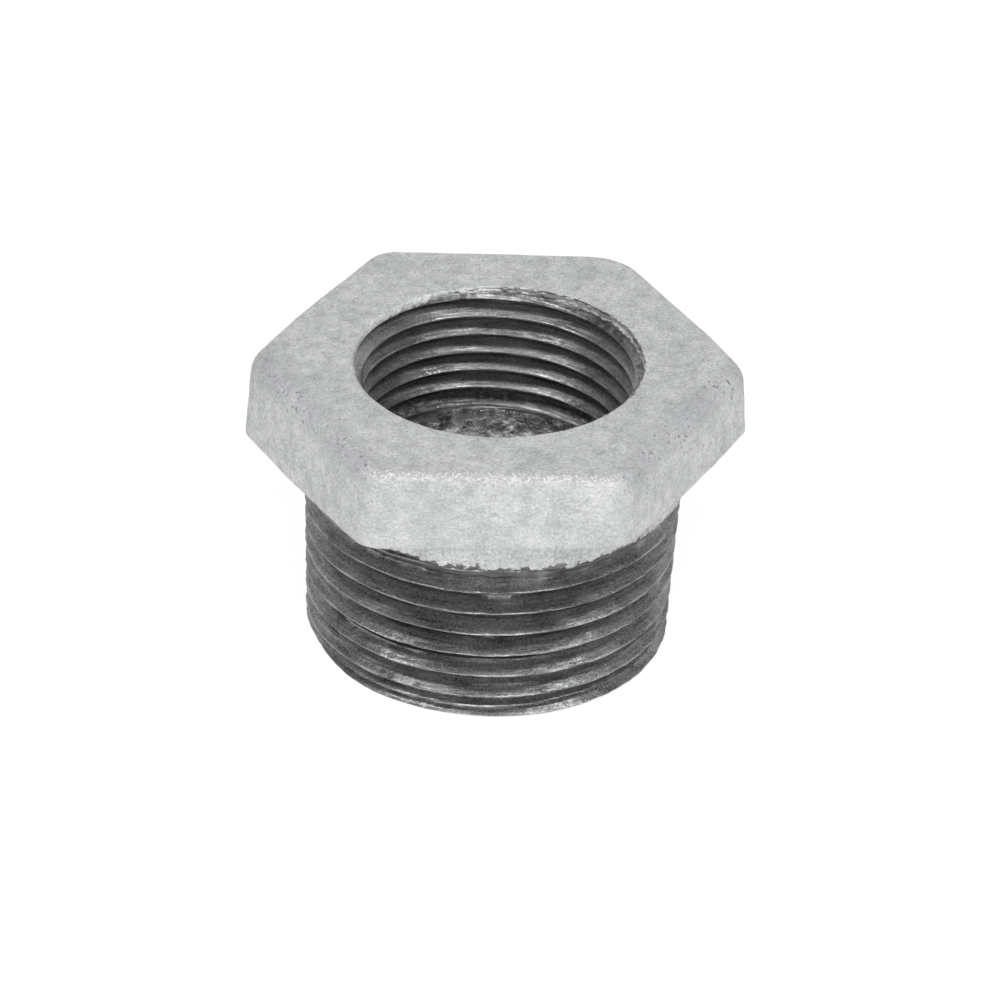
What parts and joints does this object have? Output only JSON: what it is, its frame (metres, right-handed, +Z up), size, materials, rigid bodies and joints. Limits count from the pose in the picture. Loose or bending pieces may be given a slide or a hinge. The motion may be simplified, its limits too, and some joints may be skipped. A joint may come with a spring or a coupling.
{
  "type": "hex bushing",
  "caption": "Reducing hex bushing for steel pipe, with a tapered outside thread under a hexagonal head and a smaller inside thread down its middle.",
  "frame": {"origin": "centre of the threaded end's flat face, on the thread axis", "axes": "+Z up the thread axis to the hexagonal head, -Y out of the flat that faces the camera in the picture"},
  "size_m": [0.0441, 0.0386, 0.0273],
  "materials": {
    "galvanised_iron": "hot-dip galvanised malleable iron, with machined threads left darker"
  },
  "bodies": {
    "root": {"hex_bushing": "galvanised_iron"}
  },
  "joints": []
}
